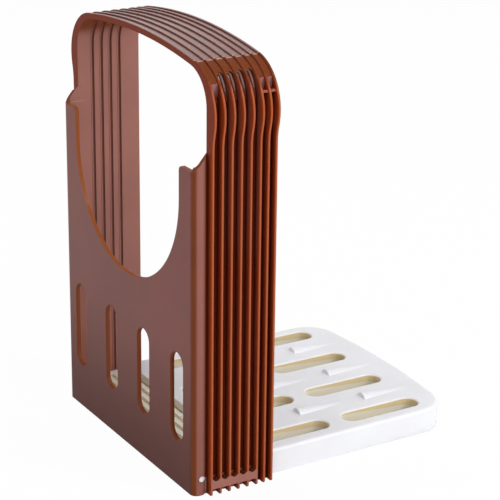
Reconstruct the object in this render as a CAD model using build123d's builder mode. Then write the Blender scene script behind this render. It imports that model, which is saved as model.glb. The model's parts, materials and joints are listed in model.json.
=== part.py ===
"""Bread slicer guide: a brown moulded comb guide with a white folding base.

The loaf lies on the base and is pushed through the arch of the guide. A knife runs down one of
four pairs of slits in the side walls, each pair one slice step further from the front plate. For
storage the base swings up on two pins and lies behind the front plate.

Frame: X across the guide, Y from the front plate towards the base's far end, Z up. The origin is
on the table, under the middle of the opened guide. All lengths are in millimetres.
"""
from build123d import *

import math
import os

os.makedirs("parts", exist_ok=True)

# ---------------------------------------------------------------- driving dimensions
# guide: walls and front plate
inner_half_width = 65.9      # loaf passage, half its width
wall = 2.1                   # strips of side wall beside the front plate
comb_wall = 1.2              # side wall at the foot of the fins
plate = 2.0                  # front plate
strip_end = 5.6              # front plate's face to the end of the strips
corner_radius = 3.6          # front plate to side wall, outside
inner_corner_radius = 1.6    # the same, inside
shoulder_height = 162.3      # top of the front plate
ramp_climb = 8.0             # the side wall's sloping top, from the front plate to the first fin
ramp_start = 0.8             # front plate's face to the foot of that slope

# guide: arch
arch_inner_height = 211.5
arch_inner_radius = 17.5     # corner between wall and arch, inside
crown_radius = 332.0         # long curve of the arch, inside
arch_skin = 1.6              # skin at the bottom of the gaps
thick_arch_skin = 2.2        # skin across the top of the arch
ridge = 0.8                  # fin beyond the thick skin of the arch
bulge = 2.0                  # fin edge at the arch's corner, beyond its straight stretch
bulge_radius = 23.5
bulge_climb = 15.0           # height in which the fin edge swells out
gap_lid = 5.8                # arch's inside down to the rounded tops of the gaps that hold a slit
ledge_drop = 14.8            # arch's inside down to the ledges in the last gaps
ledge = 1.0

# guide: fins and knife slits
fin_count = 8
fin_thickness = 1.2
fin_proud = 4.3              # fin edge beyond the comb's wall
fin_edge = 0.25              # bevel of the fin edges
fin_toe_radius = 1.0
first_fin = 8.2              # front plate's face to the middle of the first fin
slice_pitch = 5.0            # one slice step, from knife slit to knife slit
closed_pitch = 4.15          # the last fins, with no knife slit between them
plain_gaps = 1               # closed gaps ahead of the first knife slit
slit_count = 4
slit_width = 1.7
slit_foot = 10.5
slit_lid = 1.2               # top of a gap down to the top of its slit
slit_bevel = 0.25            # edges of the slits

# guide: foot bar that joins the first fins
bar_foot = 3.6
bar_top = 8.4
bar_hollow = 0.9             # depth of the hollows in its top

# guide: openings of the front plate
cutout_margin = 12.1         # side of the U-shaped cutout to the loaf passage's side
cutout_depth = 69.8
tip_radius = 2.6
window_count = 4
window_pitch = 34.2
window_width = 11.7
window_length = 44.9
window_foot = 23.8
window_bevel = 0.5           # front edges of the windows

# hinge
hinge_y = 4.7                # front plate's face to the middle of the pins
hinge_z = 8.35
hinge_boss = 0.5             # wall of the round boss that holds the bore
pin_diameter = 3.2
pin_bevel = 0.3
pin_seat = 7.0               # length of a pin inside the base
pin_recess = 0.1             # pin's end below the guide's outside
pin_clearance = 0.05         # all round the pin, in the guide's bore
fold_gap = 0.3               # between the hinge end of the base and the front plate

# base: outline
depth = 157.2                # front plate's face to the base's far end
base_side_gap = 0.7          # between the base and the guide's side wall
base_taper = 1.9             # each side, over the length
base_end_radius = 400.0
base_corner_radius = 17.0
deck_height = 12.9
step_end = 33.0              # front plate's face to the front edge of the high deck
step_run = 2.0
edge_round = 1.8
toe_bevel = 2.0              # lower edge of the hinge end

# base: walls and ribs below
base_wall = 2.0
deck = 2.0
hinge_bar = 7.0              # solid bar that holds the pins
slot_lip = 3.6               # height of the lip round each slot, deck included
slot_lip_wall = 1.4
cross_rib = 1.6
cross_rib_lift = 3.0         # table to the lower edge of the cross rib

# base: knife grooves, slots and ramps
groove_width = 2.2
groove_depth = 3.0
groove_floor = 2.0
groove_margin = 5.0          # end of a groove to the base's side
slot_rows = 2
slot_first = 41.0            # front plate's face to the first slots
slot_row_gap = 9.2
slot_end_margin = 16.0       # base's far end to the last slots
slot_width = 11.0
slot_bevel = 0.6
ramp_rows = 2
ramp_end_margin = 10.0       # base's far end to the last ramps
ramp_row_pitch = 39.5
ramp_length = 28.8
ramp_width = 7.0
ramp_rise = 2.3
ramp_root = 0.3              # depth that a ramp reaches into the deck

# ---------------------------------------------------------------- worked out
front_y = -depth / 2
outer_half_width = inner_half_width + wall
comb_half_width = inner_half_width + comb_wall
fin_half_width = comb_half_width + fin_proud
cutout_half_width = inner_half_width - cutout_margin
pin_y = front_y + hinge_y
hinge_end = hinge_y - plate - fold_gap
low_deck_height = hinge_z + hinge_end
base_front_y = pin_y - hinge_end
base_half_width = inner_half_width - base_side_gap
far_y = front_y + depth
step_y = front_y + step_end
slot_room = depth - slot_first - slot_end_margin - (slot_rows - 1) * slot_row_gap
slot_length = slot_room / slot_rows

ramp_height = shoulder_height + ramp_climb
cutout_bottom = shoulder_height - cutout_depth
fin_height = arch_inner_height + thick_arch_skin + ridge
gap_top = arch_inner_height - gap_lid
slit_top = gap_top - slit_lid
ledge_height = arch_inner_height - ledge_drop
ledge_foot = ledge_height - ledge

fin_places = [front_y + first_fin]
for gap in range(fin_count - 1):
    holds_no_slit = gap >= plain_gaps + slit_count
    fin_places.append(fin_places[-1] + (closed_pitch if holds_no_slit else slice_pitch))
gap_places = [(ahead + behind) / 2 for ahead, behind in zip(fin_places, fin_places[1:])]
slit_places = gap_places[plain_gaps : plain_gaps + slit_count]
bar_gaps = gap_places[: plain_gaps + slit_count]
closed_gaps = gap_places[plain_gaps + slit_count :]
gap_width = slice_pitch - fin_thickness
bar_hollow_z = bar_top - bar_hollow + gap_width / 2
comb_front_y = fin_places[0] - fin_thickness / 2
comb_back_y = fin_places[-1] + fin_thickness / 2
comb_depth = comb_back_y - comb_front_y

window_places = [(index - (window_count - 1) / 2) * window_pitch for index in range(window_count)]
ramp_places = [(left + right) / 2 for left, right in zip(window_places, window_places[1:])]


def across(y):
    """The XZ plane at y. A sketch on it extrudes towards the front."""
    return Plane.XZ.offset(-y)


def arch_outline(half_width, top, long_radius, corner, bulge_out=0.0):
    """Face under an arch: straight walls, tangent corners and a long crown."""
    shoulder = half_width + bulge_out
    crown_z = top - long_radius
    corner_x = shoulder - corner
    reach = long_radius - corner
    corner_z = crown_z + math.sqrt(reach**2 - corner_x**2)
    touch = long_radius / reach
    touch_point = (corner_x * touch, crown_z + (corner_z - crown_z) * touch)
    with BuildSketch() as outline:
        with BuildLine():
            Line((0, 0), (half_width, 0))
            if bulge_out:
                foot = (half_width, corner_z - bulge_climb)
                middle = (half_width + bulge_out / 2, corner_z - bulge_climb / 2)
                Line((half_width, 0), foot)
                swell = TangentArc(foot, middle, tangent=(0, 1))
                TangentArc(middle, (shoulder, corner_z), tangent=swell % 1)
            else:
                Line((half_width, 0), (half_width, corner_z))
            bend = TangentArc((shoulder, corner_z), touch_point, tangent=(0, 1))
            TangentArc(bend @ 1, (0, top), tangent=bend % 1)
            Line((0, top), (0, 0))
        make_face()
        mirror(about=Plane.YZ)
    return outline.sketch


def slit_rims(body):
    """Straight edges of the knife slits, inside and outside the walls."""
    return (
        body.edges()
        .filter_by(Axis.Z)
        .filter_by(lambda edge: edge.length > (slit_top - slit_foot) / 2)
        .filter_by(lambda edge: any(
            abs(abs(edge.center().Y - slit_y) - slit_width / 2) < 0.01 for slit_y in slit_places
        ))
    )


def base_outline():
    """Plan of the base: square hinge end, tapered sides, rounded far end."""
    far_half_width = base_half_width - base_taper
    side_end_y = far_y - base_end_radius + math.sqrt(base_end_radius**2 - far_half_width**2)
    with BuildSketch() as outline:
        with BuildLine():
            Line((-base_half_width, base_front_y), (base_half_width, base_front_y))
            Line((base_half_width, base_front_y), (far_half_width, side_end_y))
            ThreePointArc((far_half_width, side_end_y), (0, far_y), (-far_half_width, side_end_y))
            Line((-far_half_width, side_end_y), (-base_half_width, base_front_y))
        make_face()
        fillet(outline.vertices().group_by(Axis.Y)[-1], base_corner_radius)
    return outline.sketch


passage_outline = arch_outline(
    inner_half_width, arch_inner_height, crown_radius, arch_inner_radius
)
skin_outline = arch_outline(
    comb_half_width, arch_inner_height + arch_skin, crown_radius + arch_skin,
    arch_inner_radius + comb_wall,
)
fin_crown_radius = crown_radius + fin_height - arch_inner_height
fin_outline = arch_outline(fin_half_width, fin_height, fin_crown_radius, bulge_radius, bulge)
thick_skin_outline = arch_outline(
    fin_half_width + bulge - ridge, fin_height - ridge, fin_crown_radius - ridge,
    bulge_radius - ridge,
)

# ---------------------------------------------------------------- guide
with BuildPart() as fin:
    with BuildSketch(across(fin_thickness / 2)) as fin_sketch:
        add(fin_outline)
        fillet(fin_sketch.vertices().group_by(Axis.Y)[0].sort_by(Axis.X)[0], fin_toe_radius)
        fillet(fin_sketch.vertices().group_by(Axis.Y)[0].sort_by(Axis.X)[-1], fin_toe_radius)
    extrude(amount=fin_thickness)
    chamfer(fin.faces().filter_by(Axis.Y).edges(), fin_edge)

with BuildPart() as skin:
    with BuildSketch(across(comb_back_y)):
        add(skin_outline)
    extrude(amount=comb_depth)

with BuildPart() as gap_tops:
    for gap_y in slit_places:
        with BuildSketch(Plane.YZ.offset(-fin_half_width - bulge)):
            with Locations((gap_y, gap_top - gap_width / 2)):
                Circle(gap_width / 2)
                Rectangle(gap_width, gap_top - ledge_foot, align=(Align.CENTER, Align.MAX))
        extrude(amount=2 * (fin_half_width + bulge))
    # the other gaps keep the wall's plane right up to the arch, the last ones with a ledge
    for gap_y in gap_places[:plain_gaps] + closed_gaps:
        with BuildSketch(Plane.XY.offset(ledge_height if gap_y in closed_gaps else ledge_foot)):
            with Locations((0, gap_y)):
                Rectangle(2 * (fin_half_width + bulge), gap_width)
                Rectangle(2 * comb_half_width, gap_width, mode=Mode.SUBTRACT)
        extrude(amount=fin_height)
    add(skin.part, mode=Mode.SUBTRACT)

with BuildPart() as guide:
    # front plate, the strips of side wall beside it and the thinner wall up to the fins
    with BuildSketch() as channel:
        with Locations((0, front_y)):
            Rectangle(2 * outer_half_width, strip_end, align=(Align.CENTER, Align.MIN))
        fillet(channel.vertices().group_by(Axis.Y)[0], corner_radius)
        with Locations((0, comb_front_y + fin_thickness)):
            Rectangle(
                2 * comb_half_width, fin_thickness + first_fin - corner_radius,
                align=(Align.CENTER, Align.MAX),
            )
    extrude(amount=ramp_height)
    with BuildSketch(Plane.YZ):
        Polygon(
            (front_y, shoulder_height),
            (front_y + ramp_start, shoulder_height),
            (comb_front_y, ramp_height),
            (front_y, ramp_height),
            align=None,
        )
    extrude(amount=outer_half_width, both=True, mode=Mode.SUBTRACT)
    with BuildSketch(Plane.YZ.offset(-outer_half_width)):
        with Locations((pin_y, hinge_z)):
            Circle(pin_diameter / 2 + pin_clearance + hinge_boss)
    extrude(amount=2 * outer_half_width)

    # comb: skin, thick skin of the arch, fins
    add(skin.part)
    with BuildSketch(across(comb_back_y)) as thick_skin:
        add(thick_skin_outline)
        Rectangle(
            4 * fin_half_width, ledge_foot, align=(Align.CENTER, Align.MIN),
            mode=Mode.SUBTRACT,
        )
    extrude(amount=comb_depth)
    add(gap_tops.part, mode=Mode.SUBTRACT)
    for fin_y in fin_places:
        with Locations((0, fin_y, 0)):
            add(fin.part)

    # foot bars, hollowed between the fins
    for side in (-1, 1):
        with BuildSketch(Plane.YZ.offset(side * (comb_half_width + fin_half_width) / 2)):
            with Locations((bar_gaps[0] - slice_pitch / 2, bar_foot)):
                Rectangle(
                    slice_pitch * len(bar_gaps), bar_top - bar_foot,
                    align=(Align.MIN, Align.MIN),
                )
            with Locations([(gap_y, bar_hollow_z) for gap_y in bar_gaps]):
                Circle(gap_width / 2, mode=Mode.SUBTRACT)
        extrude(amount=fin_proud / 2, both=True)

    # loaf passage
    with BuildSketch(across(comb_back_y)):
        add(passage_outline)
    extrude(amount=comb_depth, mode=Mode.SUBTRACT)
    with BuildSketch() as channel_inside:
        with Locations((0, front_y + plate)):
            Rectangle(
                2 * inner_half_width, comb_back_y - front_y,
                align=(Align.CENTER, Align.MIN),
            )
        fillet(channel_inside.vertices().group_by(Axis.Y)[0], inner_corner_radius)
    extrude(amount=ramp_height, mode=Mode.SUBTRACT)

    # knife slits
    for slit_y in slit_places:
        with BuildSketch(Plane.YZ):
            with Locations((slit_y, (slit_foot + slit_top) / 2)):
                SlotOverall(slit_top - slit_foot, slit_width, rotation=90)
        extrude(amount=fin_half_width, both=True, mode=Mode.SUBTRACT)
    chamfer(slit_rims(guide), slit_bevel)

    # cutout and windows of the front plate
    with BuildSketch(across(front_y + plate + inner_corner_radius)) as cutout:
        with Locations((0, cutout_bottom + cutout_half_width)):
            Circle(cutout_half_width)
            Rectangle(2 * cutout_half_width, fin_height, align=(Align.CENTER, Align.MIN))
        with Locations((0, shoulder_height)):
            Rectangle(
                2 * (inner_half_width - inner_corner_radius), fin_height,
                align=(Align.CENTER, Align.MIN),
            )
    extrude(amount=plate + inner_corner_radius, mode=Mode.SUBTRACT)
    tips = (
        guide.edges()
        .filter_by(Axis.Y)
        .filter_by(lambda edge: abs(abs(edge.center().X) - cutout_half_width) < 0.01)
        .filter_by(lambda edge: abs(edge.center().Z - shoulder_height) < 0.01)
    )
    fillet(tips, tip_radius)
    with BuildSketch(across(front_y + plate)):
        with Locations([(x, window_foot + window_length / 2) for x in window_places]):
            SlotOverall(window_length, window_width, rotation=90)
    extrude(amount=plate, mode=Mode.SUBTRACT)
    plate_face = guide.faces().filter_by(Axis.Y).sort_by(Axis.Y)[0]
    chamfer([edge for wire in plate_face.inner_wires() for edge in wire.edges()], window_bevel)

    # hinge bores
    with BuildSketch(Plane.YZ):
        with Locations((pin_y, hinge_z)):
            Circle(pin_diameter / 2 + pin_clearance)
    extrude(amount=outer_half_width, both=True, mode=Mode.SUBTRACT)

guide.part.label = "slicing_guide"
export_step(guide.part, "parts/slicing_guide.step")

# ---------------------------------------------------------------- base
with BuildPart() as ramp:
    with BuildSketch(across(0)) as ramp_end:
        cap_radius = ((ramp_width / 2) ** 2 + ramp_rise**2) / (2 * ramp_rise)
        with Locations((0, ramp_rise - cap_radius)):
            Circle(cap_radius)
        with Locations((0, -ramp_root)):
            Rectangle(
                2 * cap_radius, cap_radius + ramp_rise, align=(Align.CENTER, Align.MIN),
                mode=Mode.INTERSECT,
            )
    sink = ramp_rise + 2 * ramp_root
    run = ramp_length * sink / ramp_rise
    extrude(amount=math.hypot(run, sink), dir=(0, run, -sink))
    with Locations((0, 0, -ramp_root)):
        Box(
            2 * ramp_width, 4 * ramp_length, ramp_width,
            align=(Align.CENTER, Align.CENTER, Align.MAX), mode=Mode.SUBTRACT,
        )

with BuildPart() as base:
    with BuildSketch():
        add(base_outline())
    extrude(amount=deck_height)
    with BuildSketch(Plane.YZ) as side_profile:
        with BuildLine():
            Polyline(
                (base_front_y, 0),
                (far_y, 0),
                (far_y, deck_height),
                (step_y, deck_height),
                (step_y - step_run, low_deck_height),
                (base_front_y, low_deck_height),
                close=True,
            )
        make_face()
    extrude(amount=base_half_width, both=True, mode=Mode.INTERSECT)

    # rounded rim, and a hinge end that is round about the pins
    hinge_edges = base.edges().filter_by(Axis.X).group_by(Axis.Y)[0].sort_by(Axis.Z)
    fillet(hinge_edges[-1], hinge_end - 0.01)
    toe_edges = base.edges().filter_by(Axis.X).group_by(Axis.Z)[0].sort_by(Axis.Y)
    chamfer(toe_edges[0], toe_bevel)
    rim_edges = (
        base.edges()
        .filter_by(lambda edge: edge.center().Z > low_deck_height - edge_round)
        .filter_by(lambda edge: abs(edge.center().X) > base_half_width - 2 * base_taper
                   or edge.center().Y > far_y - 2 * base_corner_radius)
        .filter_by(lambda edge: edge.center().Y > pin_y)
    )
    fillet(rim_edges, edge_round)

    # hollow below, with a lip round each slot and a rib between the rows
    slot_centres = [
        (x, front_y + slot_first + slot_length / 2 + row * (slot_length + slot_row_gap))
        for row in range(slot_rows)
        for x in window_places
    ]
    rib_centres = [
        (0, front_y + slot_first + row * (slot_length + slot_row_gap) - slot_row_gap / 2)
        for row in range(1, slot_rows)
    ]
    low_ceiling = low_deck_height - groove_depth - groove_floor
    hollows = (
        (base_front_y + hinge_bar, cross_rib_lift, False, False),
        (base_front_y + hinge_bar, low_ceiling, False, True),
        (step_y + base_wall, deck_height - slot_lip, False, True),
        (step_y + base_wall, deck_height - deck, True, True),
    )
    for hollow_y, ceiling, keeps_lips, keeps_rib in hollows:
        with BuildSketch():
            add(base_outline())
            offset(amount=-base_wall, mode=Mode.REPLACE)
            with Locations((0, hollow_y)):
                Rectangle(
                    2 * base_half_width, depth, align=(Align.CENTER, Align.MIN),
                    mode=Mode.INTERSECT,
                )
            if keeps_lips:
                with Locations(slot_centres):
                    SlotOverall(
                        slot_length + 2 * slot_lip_wall, slot_width + 2 * slot_lip_wall,
                        rotation=90, mode=Mode.SUBTRACT,
                    )
            if keeps_rib:
                with Locations(rib_centres):
                    Rectangle(2 * base_half_width, cross_rib, mode=Mode.SUBTRACT)
        extrude(amount=ceiling, mode=Mode.SUBTRACT)

    # slots through the deck
    with BuildSketch():
        with Locations(slot_centres):
            SlotOverall(slot_length, slot_width, rotation=90)
    extrude(amount=deck_height, mode=Mode.SUBTRACT)
    deck_face = base.faces().filter_by(Axis.Z).sort_by(Axis.Z)[-1]
    chamfer([edge for wire in deck_face.inner_wires() for edge in wire.edges()], slot_bevel)

    # knife grooves under the slits
    with BuildSketch(Plane.XY.offset(low_deck_height)):
        with Locations([(0, slit_y) for slit_y in slit_places]):
            Rectangle(2 * (base_half_width - groove_margin), groove_width)
    extrude(amount=-groove_depth, mode=Mode.SUBTRACT)

    # ramps between the slots, high at the guide's side
    last_ramp_y = far_y - ramp_end_margin - ramp_length
    for row in range(ramp_rows):
        for x in ramp_places:
            with Locations((x, last_ramp_y - row * ramp_row_pitch, deck_height)):
                add(ramp.part)

    # seats of the pins
    for side in (-1, 1):
        with BuildSketch(Plane.YZ.offset(side * base_half_width)):
            with Locations((pin_y, hinge_z)):
                Circle(pin_diameter / 2)
        extrude(amount=-side * pin_seat, mode=Mode.SUBTRACT)

base.part.label = "folding_base"
export_step(base.part, "parts/folding_base.step")

# ---------------------------------------------------------------- hinge pins
for side, name in ((-1, "hinge_pin_left"), (1, "hinge_pin_right")):
    with BuildPart() as pin:
        with BuildSketch(Plane.YZ.offset(side * (outer_half_width - pin_recess))):
            with Locations((pin_y, hinge_z)):
                Circle(pin_diameter / 2)
        extrude(amount=-side * (pin_seat + base_side_gap + wall - pin_recess))
        outer_rim = pin.edges().group_by(Axis.X)[-1 if side > 0 else 0]
        chamfer(outer_rim, pin_bevel)
    pin.part.label = name
    export_step(pin.part, f"parts/{name}.step")
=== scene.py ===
# %% [markdown]
# # A bread slicer guide, dressed in Blender
#
# The guide is a brown moulded comb with an arch on top. A white base folds out behind it on two
# pins, and carries the loaf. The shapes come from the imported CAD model, which is a fixed frame
# here. This script gives them their finish, the light, the floor and the camera.
#
# Lengths are in metres, X runs across the guide, Y from the front plate towards the far end of
# the base, and Z up.

# %% Load the frame
import json
import math

import bmesh
import bpy
from mathutils import Matrix, Vector


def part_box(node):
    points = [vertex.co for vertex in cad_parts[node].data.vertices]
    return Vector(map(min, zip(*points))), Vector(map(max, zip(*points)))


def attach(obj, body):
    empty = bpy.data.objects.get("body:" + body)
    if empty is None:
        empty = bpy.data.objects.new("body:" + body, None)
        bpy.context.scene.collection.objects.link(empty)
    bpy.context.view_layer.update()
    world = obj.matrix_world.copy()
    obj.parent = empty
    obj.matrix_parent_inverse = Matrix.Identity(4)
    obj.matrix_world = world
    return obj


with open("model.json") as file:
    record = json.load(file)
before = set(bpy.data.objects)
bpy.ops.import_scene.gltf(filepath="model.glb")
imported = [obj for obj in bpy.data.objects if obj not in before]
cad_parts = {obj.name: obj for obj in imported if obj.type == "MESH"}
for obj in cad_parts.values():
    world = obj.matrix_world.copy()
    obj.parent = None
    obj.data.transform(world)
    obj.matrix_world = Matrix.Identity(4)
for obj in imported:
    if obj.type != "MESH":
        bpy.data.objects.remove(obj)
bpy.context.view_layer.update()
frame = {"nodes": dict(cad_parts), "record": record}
nodes = frame["nodes"]
print("CAD nodes:", sorted(nodes))

# %% [markdown]
# ## Places that the finishes need
#
# A finish that changes over a surface has to know where that surface is. The frame gives the
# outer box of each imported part, and that much is read here. Places inside a box can't be read, so
# further down they are typed in, with the measures that the CAD source has for them. They stay
# behind when the model changes, and would have to be changed with it.

# %% Read the places from the frame
MM = 0.001
guide_low, guide_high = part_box("slicing_guide")
base_low, base_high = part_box("folding_base")
print("guide", [round(v / MM, 1) for v in guide_high - guide_low], "mm")
print("base", [round(v / MM, 1) for v in base_high - base_low], "mm")

# %% [markdown]
# ## Camera
#
# The photograph was taken from the right, a little above the table, with a long lens. A camera
# can be aimed with a constraint, but then its roll and exact place are hard to read. Here it is
# turned in three plain steps: roll about its own axis, tip it up from looking straight down,
# and turn it round the object.

# %% Camera
CAMERA_PLACE = Vector((770.8, -469.8, 418.5)) * MM
CAMERA_AZIMUTH = math.radians(59.078)
CAMERA_ELEVATION = math.radians(19.99)
CAMERA_ROLL = math.radians(0.677)
CAMERA_LENS = 135.58  # focal length in millimetres
CAMERA_SENSOR = 36  # width in millimetres

lens = bpy.data.cameras.new("photo_camera")
lens.lens = CAMERA_LENS
lens.sensor_width = CAMERA_SENSOR
camera = bpy.data.objects.new("photo_camera", lens)
bpy.context.scene.collection.objects.link(camera)
camera.matrix_world = (
    Matrix.Translation(CAMERA_PLACE)
    @ Matrix.Rotation(CAMERA_AZIMUTH, 4, "Z")
    @ Matrix.Rotation(math.radians(90) - CAMERA_ELEVATION, 4, "X")
    @ Matrix.Rotation(CAMERA_ROLL, 4, "Z")
)
bpy.context.scene.camera = camera
bpy.context.scene.view_settings.view_transform = "Standard"
print("camera is", round(camera.location.length, 3), "m from the origin")

# %% [markdown]
# ## Shader maths as plain expressions
#
# A material is a net of nodes. Built link by link, a short formula becomes a page of code. The
# class below wraps one output socket, so that adding or multiplying two of them adds the Math
# node that does it. The bar, as in first | second, takes the larger of two.


# %% Value
class Value:
    """A number that changes over a surface, held by the output socket of a node."""

    def __init__(self, finish, socket):
        self.finish = finish
        self.socket = socket

    def maths(self, operation, *others):
        """What a Math node makes of this value and the others."""
        return self.finish.node("Math", {"operation": operation}, [self, *others])

    def __add__(self, other):
        return self.maths("ADD", other)

    __radd__ = __add__

    def __mul__(self, other):
        return self.maths("MULTIPLY", other)

    __rmul__ = __mul__

    def __sub__(self, other):
        return self.maths("SUBTRACT", other)

    def __rsub__(self, other):
        return self.maths("MULTIPLY", -1.0).maths("ADD", other)

    def __or__(self, other):
        """The larger of two masks."""
        return self.maths("MAXIMUM", other)

    __ror__ = __or__

    def __truediv__(self, other):
        return self.maths("DIVIDE", other)

    def __abs__(self):
        return self.maths("ABSOLUTE")

    def ramp(self, start, end):
        """0 below start and 1 above end, with a smooth step between them."""
        settings = {"interpolation_type": "SMOOTHSTEP"}
        return self.finish.node(
            "MapRange", settings, {"Value": self, "From Min": start, "From Max": end}
        )

    def between(self, low, high, soft):
        """1 from low to high, falling to 0 within soft on either side."""
        return self.ramp(low - soft, low) * (1 - self.ramp(high, high + soft))


# %% [markdown]
# ## The nodes of a finish
#
# A material and a world are both a net of nodes that ends in a shader. Every kind of node comes
# from one method here, which sets the node's own options before it fills the sockets, because
# some options change which sockets there are.


# %% Finish
class Finish:
    """The nodes of a material or a world, and its shader."""

    def __init__(self, block, shader="Principled BSDF"):
        block.use_nodes = True
        self.block = block
        self.tree = block.node_tree
        self.shader = self.tree.nodes[shader]

    def node(self, kind, settings=None, sockets=(), output=0):
        """Adds a node, sets its options and then its sockets, and returns one of its outputs."""
        node = self.tree.nodes.new("ShaderNode" + kind)
        for name, value in (settings or {}).items():
            setattr(node, name, value)
        pairs = sockets.items() if isinstance(sockets, dict) else enumerate(sockets)
        for name, value in pairs:
            self.fill(node.inputs[name], value)
        return Value(self, node.outputs[output])

    def fill(self, socket, value):
        """Links a socket to a value, or sets it to a plain number or colour."""
        if isinstance(value, Value):
            self.tree.links.new(value.socket, socket)
        else:
            socket.default_value = value

    def seen_by(self, *kinds):
        """1 for the kinds of rays that are named, and 0 for all others."""
        rays = [self.node("LightPath", output=f"Is {kind} Ray") for kind in kinds]
        return sum(rays[1:], rays[0])

    def set(self, **sockets):
        """Fills sockets of the shader: Base_Color stands for the socket Base Color."""
        for name, value in sockets.items():
            self.fill(self.shader.inputs[name.replace("_", " ")], value)

    def place(self):
        """The point on the surface, in metres, as a vector and as its three numbers."""
        point = self.node("TexCoord", output="Object")
        parts = [self.node("SeparateXYZ", {}, [point], axis) for axis in "XYZ"]
        return point, *parts

    def facing(self):
        """The three parts of the surface's direction."""
        normal = self.node("TexCoord", output="Normal")
        return [self.node("SeparateXYZ", {}, [normal], axis) for axis in "XYZ"]

    def noise(self, point, size, detail=2.0):
        """Soft noise from 0 to 1, whose blobs measure about size in metres."""
        return self.node("TexNoise", {}, {"Vector": point, "Scale": 1 / size, "Detail": detail})

    def blend(self, factor, first, second):
        """The first colour where factor is 0, and the second where it is 1."""
        sockets = {"Factor": factor, "A": first, "B": second}
        node = self.tree.nodes.new("ShaderNodeMix")
        node.data_type = "RGBA"
        for name, value in sockets.items():
            self.fill(next(s for s in node.inputs if s.name == name and s.enabled), value)
        return Value(self, next(s for s in node.outputs if s.enabled))


# %% [markdown]
# ## Where the guide changes
#
# The guide is moulded in one shot from a brown plastic, but it doesn't look the same all over.
# Its flat faces have a fine satin that looks mauve under a white ceiling. Its roundings and fins
# are polished and keep a warm orange. Each part could be cut out as a mesh of its own. The mesh is
# a fixed frame here, so masks choose instead: numbers from 0 to 1, worked out from where a point
# lies and which way the surface faces there. The colours were set by comparing areas of the render
# with the photograph.
# The mauve of the walls and the crown is a painted sheen in their colour.

# %% Places across and along the guide
COMB_WALL_X = 67.1 * MM  # outside of the wall, between the fins
STRAIGHT_FIN_X = 71.4 * MM  # edge of a fin, below its bulge
PLATE_INSIDE_X = 65.6 * MM  # edge of the front plate's flat part
CREASE_X = 53.7 * MM  # where the crown meets the arch's corners
PLATE_BACK_Y = guide_low.y + 2.0 * MM
COMB_Y = guide_low.y + 6.5 * MM  # between the plate's strip and the first fin
ARCH_FRONT_Y = guide_low.y + 7.8 * MM  # just behind the front of the first fin
BAR_BACK_Y = guide_low.y + 33.9 * MM
print("the comb starts at y =", round(COMB_Y / MM, 1), "mm")

# %% Heights on the guide
BAR_TOP_Z = 8.6 * MM  # of the bars at the foot of the comb
WINDOWS_TOP_Z = 80 * MM
# the painted shade that darkens the plate towards its foot fades out up to here too
SATIN_Z = 85 * MM  # up to here the plate gets more satin
CUTOUT_Z = 95 * MM
SHOULDER_Z = 162.0 * MM
ARCH_Z = 190.0 * MM  # where the walls start to bend
CROWN_Z = 206.0 * MM  # above the slits' tops
print("the arch takes up", round((guide_high.z - ARCH_Z) / MM, 1), "mm")

# %% Curves of the arch
BEND_X = 48.4 * MM  # middle of the corner's bend
BEND_Z = 190.25 * MM
BEND_RADIUS = COMB_WALL_X - BEND_X
CROWN_MIDDLE_Z = -120.5 * MM  # middle of the crown's long curve
RIDGE_MIDDLE = 334.5 * MM  # half way up the crown's ridges, from that middle
print("the corners bend with a radius of", round(BEND_RADIUS / MM, 1), "mm")


# %% A point of the guide
class Surface:
    """Where a point of the guide lies, and which way the surface faces there."""

    def __init__(self, finish):
        self.point, self.x, self.y, self.z = finish.place()
        self.face_x, self.face_y, self.face_z = finish.facing()
        self.beside = abs(self.x)
        self.sideways = abs(self.face_x).ramp(0.80, 0.97)
        self.lengthways = abs(self.face_y).ramp(0.6, 0.9)
        self.flat = (abs(self.face_x) | abs(self.face_y) | abs(self.face_z)).ramp(0.93, 0.985)
        self.outside = (self.x * self.face_x / MM).ramp(-3, -2) * self.face_z.ramp(-0.2, -0.1)
        self.in_comb = self.y.ramp(COMB_Y, COMB_Y + 0.3 * MM)
        self.past_crease = self.beside.ramp(CREASE_X - 0.3 * MM, CREASE_X)
        self.from_bend = self.distance(BEND_X, BEND_Z)
        self.high = self.z.ramp(ARCH_Z, ARCH_Z + 2 * MM)

    def distance(self, line_x, line_z):
        """How far the point is from a line along Y, and from its mirror image."""
        across = self.beside - line_x
        up = self.z - line_z
        return (across * across + up * up).maths("SQRT")


# %% [markdown]
# ## Masks of the arch
#
# The crown gets a pale painted sheen, and its corners beyond a crease are clear, as is the front of
# the arch. The ridges on the crown are low, and the sheen is painted on their upper half, so a dark
# line stays at the foot only. A height can't tell the foot of a ridge from its top on a curved
# crown, so the distance from the middle of the curve does it.


# %% Masks of the arch
def mark_arch(on):
    on.crown = on.face_z.ramp(0.85, 0.95) * on.high
    on.corner = on.high * on.outside * on.beside.ramp(CREASE_X - 0.3 * MM, CREASE_X + 0.3 * MM)
    above_shoulder = on.z.ramp(SHOULDER_Z + 4 * MM, SHOULDER_Z + 8 * MM)
    in_front = 1 - on.y.ramp(ARCH_FRONT_Y, ARCH_FRONT_Y + 0.1 * MM)
    on.arch_front = above_shoulder * in_front * (-1 * on.face_y).ramp(0.75, 0.95)
    from_middle = on.distance(0, CROWN_MIDDLE_Z)
    upper_half = from_middle.ramp(RIDGE_MIDDLE, RIDGE_MIDDLE + 0.1 * MM)
    on.ridge_top = upper_half * (1 - on.past_crease)
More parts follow.
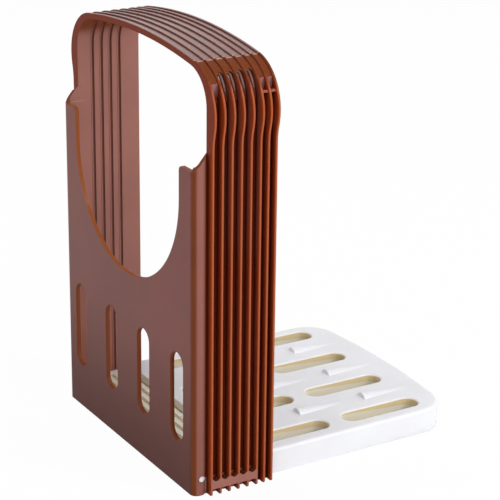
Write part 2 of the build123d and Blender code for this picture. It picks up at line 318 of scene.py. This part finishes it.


# %% [markdown]
# ## Masks of the comb
#
# The comb is everything that lies outside its walls, and every fin's side. Its colour follows how
# far out the point is: reach. Next to the wall, deep between the fins, it is a painted shade, and
# further out a painted glow of the light that comes through a fin where it is thin, paler still on
# the fin edges. In the closed gaps the wall ends under the arch in a small flat panel. The real
# panel rounds over and catches a glare, so a pale painted glare goes on it here, and later a bump
# that tilts it as the rounding would.


# %% Masks of the comb
def mark_comb(on):
    panel = on.beside.between(COMB_WALL_X - 0.05 * MM, COMB_WALL_X + 0.05 * MM, 0.05 * MM)
    on.panel = panel * on.z.ramp(ARCH_Z, ARCH_Z + 0.5 * MM)
    # painted glare on the panels, where the real rounding catches light
    on.panel_haze = 0.7 * on.panel * on.z.ramp(ARCH_Z + 0.5 * MM, ARCH_Z + 10 * MM)
    above_bar = on.z.ramp(BAR_TOP_Z, BAR_TOP_Z + 0.2 * MM)
    behind_bar = on.y.ramp(BAR_BACK_Y, BAR_BACK_Y + 0.1 * MM)
    beyond_wall = on.beside.ramp(COMB_WALL_X - 0.2 * MM, COMB_WALL_X - 0.1 * MM)
    comb = on.in_comb * (beyond_wall * (above_bar | behind_bar) | on.lengthways)
    on.comb = comb * (1 - on.arch_front) * (1 - on.ridge_top) * (1 - on.panel_haze)
    round_bend = on.from_bend.ramp(BEND_RADIUS, BEND_RADIUS + 3.8 * MM)
    round_bend = 0.6 * round_bend * on.high * on.past_crease
    # painted shade deep between the fins, fading to a painted glow of light through them further
    # out
    on.reach = on.beside.ramp(COMB_WALL_X, STRAIGHT_FIN_X) | round_bend
    # painted glow along the fin edges
    at_edge = on.beside.ramp(STRAIGHT_FIN_X - 0.5 * MM, STRAIGHT_FIN_X - 0.3 * MM)
    on.thin_edge = on.sideways * at_edge


# %% [markdown]
# ## Masks of lines and edges
#
# The photograph shows a pale line along the arch's crease, a fainter one on the inner walls at
# shoulder height, and a bright rim round the tops of the slits. The first two look like the lines
# that a mould leaves where its parts meet. The rim is a painted highlight. Gloss alone didn't bring
# them out, so they are painted, and stay pale under any light. The cut edges of the thin front
# plate are clearer than its face.


# %% Masks of lines and edges
def mark_lines(on):
    crease = on.corner * (1 - on.beside.ramp(CREASE_X + 0.5 * MM, CREASE_X + 0.8 * MM))
    crease = crease * on.z.ramp(CROWN_Z, CROWN_Z + 0.5 * MM) * on.face_z.ramp(0.4, 0.5)
    shoulder_line = on.z.between(SHOULDER_Z, SHOULDER_Z + 0.3 * MM, 0.1 * MM) * on.sideways
    shoulder_line = shoulder_line * (1 - on.outside) * (1 - on.y.ramp(COMB_Y, COMB_Y + 8 * MM))
    # painted highlight: the bright rim round the slits' tops
    rim = on.from_bend.between(BEND_RADIUS + 0.2 * MM, BEND_RADIUS + 0.6 * MM, 0.1 * MM)
    on.rim = rim * on.z.ramp(ARCH_Z + 2 * MM, ARCH_Z + 4 * MM) * (1 - on.lengthways)
    on.pale_line = 0.8 * crease | 0.8 * on.rim | 0.3 * shoulder_line
    in_plate = 1 - on.y.ramp(PLATE_BACK_Y, PLATE_BACK_Y + 0.1 * MM)
    in_plate = in_plate * (1 - on.beside.ramp(PLATE_INSIDE_X - 0.3 * MM, PLATE_INSIDE_X))
    on.cut_edge = in_plate * (1 - abs(on.face_y).ramp(0.3, 0.6))


# %% [markdown]
# ## Masks of painted sheen and polish
#
# The large flat faces have a satin that scatters light, and the roundings are polished. So the
# walls and the crown get a pale painted sheen in their colour, roundings are clear, and the strip
# beside the front plate is between the two. One roughness for both would not do it: the satin also
# looks paler, and that paler look is painted.


# %% Masks of painted sheen and polish
def mark_satin(on):
    on.clear = (1 - on.flat) | on.corner | on.arch_front
    # painted sheen: the satin's pale look, laid on faces turned sideways, the crown and the ridge
    # tops
    hazy = (on.sideways | on.crown | on.ridge_top) * (1 - on.corner) * (1 - on.arch_front)
    strip = on.sideways * on.outside * (1 - on.in_comb)
    on.hazy = hazy * (1 - 0.35 * strip) | on.panel_haze
    on.above_foot = on.z.ramp(0, SATIN_Z)


# %% [markdown]
# ## Colours of the brown plastic
#
# Melt that cools unevenly leaves faint clouds in the colour. So the three widest colours are
# pairs, and a noise of a few centimetres wanders between the two of a pair. The masks then lay one
# colour over another, from the widest to the narrowest.

# %% Colours of the brown plastic
# painted sheen of the satin on faces turned sideways
HAZE = (0.320, 0.130, 0.102, 1), (0.350, 0.143, 0.112, 1)
BROWN = (0.166, 0.034, 0.022, 1), (0.188, 0.038, 0.025, 1)
ORANGE = (0.165, 0.042, 0.015, 1), (0.185, 0.048, 0.017, 1)
# painted shade: the brown darkens towards the foot
FOOT_BROWN = (0.100, 0.023, 0.015, 1)
# painted sheen on the crown and the ridge tops
CROWN_HAZE = (0.240, 0.122, 0.107, 1)
# painted glare on the panels in the closed gaps
PANEL_HAZE = (0.360, 0.240, 0.240, 1)
ARCH_FRONT = (0.190, 0.026, 0.006, 1)
# painted shade deep between the fins, and a painted glow of light through them further out
DEEP_AMBER = (0.10, 0.012, 0.004, 1)
PALE_AMBER = (0.36, 0.062, 0.015, 1)
# painted glow on the fin edges
FIN_EDGE = (0.37, 0.105, 0.044, 1)
WINDOW_EDGE = (0.19, 0.055, 0.02, 1)
CUTOUT_EDGE = (0.27, 0.075, 0.02, 1)
# mould lines, and the painted highlight of the rim round the slits' tops
PALE_LINE = (0.6, 0.4, 0.36, 1)
print("the haze is", round(HAZE[0][0] / BROWN[0][0], 1), "times as red as the brown")


def brown_colour(finish, on, clouds):
    patches = clouds.ramp(0.3, 0.7)
    # painted sheen on the walls, the crown and the ridge tops
    haze = finish.blend(on.crown | on.ridge_top, finish.blend(patches, *HAZE), CROWN_HAZE)
    # painted glare on the panels in the closed gaps
    haze = finish.blend(on.panel_haze, haze, PANEL_HAZE)
    # painted shade: darker towards the foot
    brown = finish.blend(on.above_foot, FOOT_BROWN, finish.blend(patches, *BROWN))
    brown = finish.blend(on.clear, brown, finish.blend(patches, *ORANGE))
    # painted shade between the fins and painted glow through them
    amber = finish.blend(on.reach, DEEP_AMBER, PALE_AMBER)
    # painted glow on the fin edges
    amber = finish.blend(on.thin_edge, amber, FIN_EDGE)
    edge = finish.blend(on.z.ramp(WINDOWS_TOP_Z, CUTOUT_Z), WINDOW_EDGE, CUTOUT_EDGE)
    colour = finish.blend(on.hazy, brown, haze)
    colour = finish.blend(on.arch_front, colour, ARCH_FRONT)
    colour = finish.blend(on.comb, colour, amber)
    colour = finish.blend(on.cut_edge, colour, edge)
    # mould lines, and the painted highlight of the rim
    return finish.blend(on.pale_line, colour, PALE_LINE)


# %% [markdown]
# ## Brown plastic
#
# The base of the plastic hardly mirrors anything, and a coat carries the gloss. The coat is thick
# on the crown, thinner towards the foot of the plate, and nearly gone on clear and amber parts, so
# that they keep their colour. A bump adds slow waves, which bend the reflections as moulded walls
# do, and a grain as fine as the satin.

# %% Bump of the brown plastic
WAVE_SIZE = 22 * MM
GRAIN_SIZE = 0.45 * MM
# how high each part of the bump is, in millimetres
WAVE_HEIGHT = 0.10
GRAIN_HEIGHT = 0.002
ROUNDING = 0.03  # for each millimetre above the bend, squared
print("the waves are", round(WAVE_SIZE / GRAIN_SIZE), "times as long as the grain")


def brown_bump(finish, on):
    waves = finish.noise(on.point, WAVE_SIZE, detail=1)
    grain = finish.noise(on.point, GRAIN_SIZE)
    above = (on.z / MM - BEND_Z / MM) | 0.0
    height = WAVE_HEIGHT * waves + GRAIN_HEIGHT * grain - ROUNDING * above * above * on.panel
    return finish.node("Bump", {}, {"Strength": 1.0, "Distance": MM, "Height": height})


# %% Brown plastic
CLOUD_SIZE = 35 * MM
SPECKLE_SIZE = 0.9 * MM


def brown_coat(on):
    coat = 0.16 + 0.34 * on.above_foot + 0.5 * on.crown
    return coat * (1 - 0.85 * (on.clear | on.comb | on.cut_edge)) | on.rim


def brown_plastic():
    finish = Finish(bpy.data.materials.new("brown_plastic"))
    on = Surface(finish)
    for mark in (mark_arch, mark_comb, mark_lines, mark_satin):
        mark(on)
    clouds = finish.noise(on.point, CLOUD_SIZE, detail=3)
    speckle = finish.noise(on.point, SPECKLE_SIZE)
    finish.set(
        Base_Color=brown_colour(finish, on, clouds),
        Roughness=0.26 + 0.08 * clouds + 0.04 * speckle,
        Coat_Weight=brown_coat(on),
        Normal=brown_bump(finish, on),
        IOR=1.12,
        Coat_IOR=1.5,
        Coat_Roughness=0.16,
        Subsurface_Weight=0.2,
        Subsurface_Radius=(1.0, 0.35, 0.15),
        Subsurface_Scale=2 * MM,
    )
    print("brown plastic has", len(finish.tree.nodes), "nodes")
    return finish.block


# %% [markdown]
# ## White plastic
#
# The base and its pins are a white plastic with a softer gloss. The walls inside the slots look
# creamy in the photograph, from light that came through the deck. More light under the deck
# might do it too, but it would bleach the white. So a mask paints that light in as cream on the
# faces that stand upright inside the outline: tan near the deck, and paler lower down and towards
# the front of each slot. The low deck under the knife slits is painted a light cream all over, as
# painted light where the guide shades it. The mask can't tell its top from its underside, so the
# hollow below it is creamy as well.

# %% Colours of the white plastic
WHITE = (0.84, 0.84, 0.86, 1)
COOL_WHITE = (0.80, 0.80, 0.83, 1)
# painted light inside the slots, tan near the deck and paler lower down
TAN = (0.72, 0.58, 0.34, 1)
PALE_CREAM = (0.86, 0.79, 0.64, 1)
# painted light on the low deck, where the guide shades it
LOW_DECK_CREAM = (0.90, 0.85, 0.72, 1)
print("the two whites differ by", round(WHITE[0] - COOL_WHITE[0], 2))

# %% Places on the base
DECK_Z = 12.9 * MM
SEEN_DEPTH = 4.1 * MM  # how far down a slot's wall is seen
INSIDE_X = 60.5 * MM  # well inside the base's own outline
DECK_STEP_Y = -43 * MM  # from the low deck to the deck
LAST_SLOT_Y = 66 * MM
SLOT_LENGTH = 45.5 * MM
SLOT_START_Y = guide_low.y + 41.0 * MM
SLOT_ROW_STEP = 54.7 * MM
print("the base reaches", round((base_high.y - LAST_SLOT_Y) / MM, 1), "mm past the slots")


def slot_cream(finish, y, z):
    """Painted light inside a slot: tan near the deck and towards the back of a slot, and paler
    elsewhere.
    """
    along = ((y - SLOT_START_Y) / SLOT_ROW_STEP).maths("FRACT") * (SLOT_ROW_STEP / SLOT_LENGTH)
    depth = (DECK_Z - z) / SEEN_DEPTH
    return finish.blend((depth - 0.3 - 0.7 * along).ramp(-0.12, 0.12), TAN, PALE_CREAM)


# %% White plastic
def white_plastic():
    finish = Finish(bpy.data.materials.new("white_plastic"))
    point, x, y, z = finish.place()
    upright = 1 - abs(finish.facing()[2]).ramp(0.3, 0.7)
    inside = 1 - abs(x).ramp(INSIDE_X, INSIDE_X + 1 * MM)
    below = 1 - z.ramp(DECK_Z - 0.7 * MM, DECK_Z - 0.2 * MM)
    in_slots = upright * inside * below * y.between(DECK_STEP_Y, LAST_SLOT_Y, 1 * MM)
    # painted light on the low deck and the hollow below it
    low_deck = inside * below * (1 - y.ramp(DECK_STEP_Y - 1 * MM, DECK_STEP_Y))
    clouds = finish.noise(point, 30 * MM)
    grain = finish.noise(point, 0.5 * MM)
    colour = finish.blend(clouds.ramp(0.3, 0.7), WHITE, COOL_WHITE)
    # painted light on the slots' walls
    colour = finish.blend(in_slots, colour, slot_cream(finish, y, z))
    finish.set(
        Base_Color=finish.blend(low_deck, colour, LOW_DECK_CREAM),
        Roughness=0.34 + 0.08 * clouds,
        Normal=finish.node("Bump", {}, {"Strength": 0.3, "Distance": 0.05 * MM, "Height": grain}),
        IOR=1.5,
        Subsurface_Weight=0.3,
        Subsurface_Radius=(1.0, 0.8, 0.5),
        Subsurface_Scale=4 * MM,
    )
    print("white plastic has", len(finish.tree.nodes), "nodes")
    return finish.block


# %% [markdown]
# ## Finishes for the CAD parts
#
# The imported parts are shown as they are, and none is replaced. Each gets the finish that its slot
# in the record names, in place of the plain material that it comes with.

# %% Give the CAD parts their finishes
finishes = {"brown_plastic": brown_plastic(), "white_plastic": white_plastic()}
for subpart in frame["record"]["subparts"]:
    part = nodes[subpart["node"]]
    part.data.materials.clear()
    part.data.materials.append(finishes[subpart["material_slot"]])
    print(subpart["node"], "is", subpart["material_slot"])

# %% [markdown]
# ## New pieces
#
# A new piece starts as a bmesh and ends as an object. Its faces are made to point outwards once
# its shape is whole, because a spin or a mirror can turn them inside out. It takes the finish of
# a slot in the record, and rides on one body of the model, so that it moves when the base folds.


# %% Helpers for new pieces
def keep_piece(name, shape, body, slot):
    """Makes an object of a bmesh, with the finish of a slot, and lets it ride on a body."""
    bmesh.ops.recalc_face_normals(shape, faces=shape.faces)
    mesh = bpy.data.meshes.new(name)
    shape.to_mesh(mesh)
    shape.free()
    mesh.materials.append(finishes[slot])
    piece = bpy.data.objects.new(name, mesh)
    bpy.context.scene.collection.objects.link(piece)
    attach(piece, body)
    print(name, "has", len(mesh.polygons), "faces")


def only(kind, items):
    """The vertices or the faces among what an operator returns."""
    return [item for item in items if isinstance(item, kind)]


# %% [markdown]
# ## Slit lips
#
# The photograph shows a bright rim along each knife slit, and no light through the far wall's
# slits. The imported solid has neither. A thin lip on the slit's front edge gives both, but its
# shape is a guess. It runs up the wall, bends with the arch's corner and turns over the slit's
# round top. A curve with a round bevel could follow that path, but its section would twist at the
# turn. Here one small section is swept: straight up, then by a spin about the corner's middle,
# then by a half spin about the slit's top. A spin leaves the face that it started from inside the
# piece, so that face is deleted.

# %% Places of the slits
WALL_INSIDE_X = 65.9 * MM
SLIT_FOOT_Z = 10.5 * MM
SLIT_TOP_Z = 204.5 * MM
SLIT_HALF_WIDTH = 0.85 * MM
SLIT_FIRST_Y = guide_low.y + 15.7 * MM
SLIT_STEP = 5.0 * MM
SLITS = 4
print(SLITS, "slits in each wall,", round((SLIT_TOP_Z - SLIT_FOOT_Z) / MM, 1), "mm high")

# %% Section of a slit lip
LIP_WIDTH = 0.75 * MM
LIP_REACH = 0.25 * MM
LIP_INSET = 0.05 * MM
LIP_ROUND = 0.2 * MM

low_x = WALL_INSIDE_X - LIP_INSET
high_x = COMB_WALL_X + LIP_REACH
low_y = SLIT_FIRST_Y - LIP_REACH - LIP_WIDTH
high_y = SLIT_FIRST_Y - LIP_REACH

lips = bmesh.new()
corners = [(low_x, low_y), (high_x, low_y), (high_x, high_y), (low_x, high_y)]
section = [lips.verts.new((cx, cy, SLIT_FOOT_Z)) for cx, cy in corners]
lips.faces.new(section)
bmesh.ops.bevel(
    lips, geom=section, offset=LIP_ROUND, segments=2, profile=0.5, affect="VERTICES", material=-1
)
print("the section has", len(lips.verts), "corners")


# %% Sweep the lip
SPIN_STEPS = 10


def spin_on(shape, end, cent, axis, angle):
    """Spins the end face onwards, deletes the face left inside, and returns the new end."""
    swept = bmesh.ops.spin(shape, geom=end, cent=cent, axis=axis, angle=angle, steps=SPIN_STEPS)
    bmesh.ops.delete(shape, geom=end, context="FACES_ONLY")
    return only(bmesh.types.BMFace, swept["geom_last"])


up = bmesh.ops.extrude_face_region(lips, geom=lips.faces[:], use_keep_orig=True)["geom"]
raised = only(bmesh.types.BMVert, up)
bmesh.ops.translate(lips, verts=raised, vec=(0, 0, BEND_Z - SLIT_FOOT_Z))
mid_radius = (low_x + high_x) / 2 - BEND_X
bend = math.asin((SLIT_TOP_Z - SLIT_HALF_WIDTH - BEND_Z) / mid_radius)
end = spin_on(lips, only(bmesh.types.BMFace, up), (BEND_X, 0, BEND_Z), (0, -1, 0), bend)
outwards = Vector((math.cos(bend), 0, math.sin(bend)))
middle = Vector((BEND_X, SLIT_FIRST_Y, BEND_Z)) + outwards * mid_radius
spin_on(lips, end, middle, outwards, -math.pi)
print("one lip has", len(lips.faces), "faces")

# %% Repeat the lip for every slit of both walls
first = lips.verts[:] + lips.edges[:] + lips.faces[:]
for step in range(1, SLITS):
    copy = bmesh.ops.duplicate(lips, geom=first)["geom"]
    moved = only(bmesh.types.BMVert, copy)
    bmesh.ops.translate(lips, verts=moved, vec=(0, step * SLIT_STEP, 0))
every = lips.verts[:] + lips.edges[:] + lips.faces[:]
bmesh.ops.mirror(lips, geom=every, axis="X", merge_dist=0)
keep_piece("slit_lips", lips, "guide", "brown_plastic")

# %% [markdown]
# ## Slot collars
#
# In the photograph the walls of the slots go down further than the shallow lip that the packed
# solid has there. A collar of the same outline goes on down from that lip. How deep it goes is a
# guess, since nothing shows its foot. It is a ring of two slot-shaped loops, bridged and extruded.
# A tube cut from a block would do as well, but its round ends would need a boolean.

# %% Shape of a slot collar
SLOT_XS = [-51.3 * MM, -17.1 * MM, 17.1 * MM, 51.3 * MM]
SLOT_YS = [SLOT_START_Y + SLOT_LENGTH / 2, SLOT_START_Y + SLOT_ROW_STEP + SLOT_LENGTH / 2]
SLOT_WIDTH = 11.0 * MM
COLLAR_WALL = 1.2 * MM
COLLAR_GAP = 0.01 * MM  # keeps the collar's inside just behind the lip's
COLLAR_TOP_Z = 9.35 * MM
COLLAR_FOOT_Z = 4.5 * MM
CIRCLE_POINTS = 40


def slot_loop(ring, place, radius):
    """A loop of edges in the shape of a slot, from a circle whose halves are moved apart."""
    made = bmesh.ops.create_circle(ring, segments=CIRCLE_POINTS, radius=radius)["verts"]
    for vert in made:
        vert.co.y += math.copysign((SLOT_LENGTH - SLOT_WIDTH) / 2, vert.co.y)
    bmesh.ops.translate(ring, verts=made, vec=place)
    return list({edge for vert in made for edge in vert.link_edges})


def add_collar(ring, place):
    loops = slot_loop(ring, place, SLOT_WIDTH / 2 + COLLAR_GAP)
    loops += slot_loop(ring, place, SLOT_WIDTH / 2 + COLLAR_WALL)
    flat = bmesh.ops.bridge_loops(ring, edges=loops)["faces"]
    down = bmesh.ops.extrude_face_region(ring, geom=flat, use_keep_orig=True)["geom"]
    moved = only(bmesh.types.BMVert, down)
    bmesh.ops.translate(ring, verts=moved, vec=(0, 0, COLLAR_FOOT_Z - COLLAR_TOP_Z))


# %% Slot collars
collars = bmesh.new()
for slot_x in SLOT_XS:
    for slot_y in SLOT_YS:
        add_collar(collars, (slot_x, slot_y, COLLAR_TOP_Z))
keep_piece("slot_collars", collars, "base", "white_plastic")

# %% [markdown]
# ## Floor
#
# The floor is plain white. More light on it could make it so, but that would bleach the white
# base. Here the floor shows itself to the camera mostly as plain white, and partly as a lit
# surface, so that it keeps the soft shadow of the object. Gloss sees less of that white, or the
# front plate would look washed out.


# %% Floor
FLOOR_SIZE = 6.0
FLOOR_WHITE = (0.86, 0.86, 0.86, 1)
CAMERA_GLOW = 0.96
GLOSS_GLOW = 0.40


def white_floor():
    finish = Finish(bpy.data.materials.new("white_floor"))
    finish.set(Base_Color=FLOOR_WHITE, Roughness=0.9, Specular_IOR_Level=0.0)
    glow = finish.node("Emission", {}, {"Color": (1, 1, 1, 1), "Strength": 1.0})
    lit = Value(finish, finish.shader.outputs["BSDF"])
    share = CAMERA_GLOW * finish.seen_by("Camera") + GLOSS_GLOW * finish.seen_by("Glossy")
    surface = finish.node("MixShader", {}, [share, lit, glow])
    output = finish.tree.nodes["Material Output"]
    finish.tree.links.new(surface.socket, output.inputs["Surface"])
    return finish.block


sheet = bmesh.new()
bmesh.ops.create_grid(sheet, x_segments=1, y_segments=1, size=FLOOR_SIZE / 2)
floor_mesh = bpy.data.meshes.new("floor")
sheet.to_mesh(floor_mesh)
sheet.free()
floor_mesh.materials.append(white_floor())
floor = bpy.data.objects.new("floor", floor_mesh)
bpy.context.scene.collection.objects.link(floor)
print("floor", FLOOR_SIZE, "m square")

# %% [markdown]
# ## Surroundings
#
# A glossy thing looks like the room around it. This room is white near the horizon and dark
# overhead: the crown of the arch mirrors the horizon and looks pale, and its corners mirror the
# ceiling and keep their colour. The camera itself sees plain white.

# %% World
HORIZON_LEVEL = 0.80
CEILING_LEVEL = 0.25
# how steeply a direction rises where the ceiling starts, and where it is full
CEILING_START = 0.40
CEILING_FULL = 0.75


def studio():
    finish = Finish(bpy.data.worlds.new("studio"), "Background")
    direction = finish.node("TexCoord", output="Generated")
    up = finish.node("SeparateXYZ", {}, [direction], "Z")
    overhead = up.ramp(CEILING_START, CEILING_FULL)
    level = HORIZON_LEVEL + (CEILING_LEVEL - HORIZON_LEVEL) * overhead
    plain = finish.seen_by("Camera", "Transmission").maths("MINIMUM", 1.0)
    finish.set(Color=(1, 1, 1, 1), Strength=plain + (1 - plain) * level)
    return finish.block


bpy.context.scene.world = studio()
print("horizon", HORIZON_LEVEL, "ceiling", CEILING_LEVEL)

# %% [markdown]
# ## Lamps
#
# Soft boxes are large area lamps. The nearer and larger one is, the softer its shadow. The key
# stands to the right and high, since the faces that look right are the brightest in the
# photograph, and the front plate gets only what the room gives back. A narrow strip further back
# draws bright lines on the fins, and a lamp overhead lifts the crown and the deck.


# %% Lamps
LAMP_AIM = Vector((0, 0, 0.15))


def soft_box(name, place, width, height, power):
    """An upright area lamp that is aimed at the upper part of the guide."""
    lamp = bpy.data.lights.new(name, "AREA")
    lamp.shape = "RECTANGLE"
    lamp.size = width
    lamp.size_y = height
    lamp.energy = power
    box = bpy.data.objects.new(name, lamp)
    bpy.context.scene.collection.objects.link(box)
    aim = LAMP_AIM - Vector(place)
    box.rotation_mode = "QUATERNION"
    box.rotation_quaternion = aim.to_track_quat("-Z", "Y")
    box.location = place
    print(name, power, "W,", round(aim.length, 2), "m away")


soft_box("key", (1.7, -0.2, 0.9), 1.1, 1.1, 8)
soft_box("strip", (1.1, 0.75, 0.95), 0.15, 0.85, 9)
soft_box("top", (-0.5, -0.3, 1.8), 1.0, 1.0, 13)
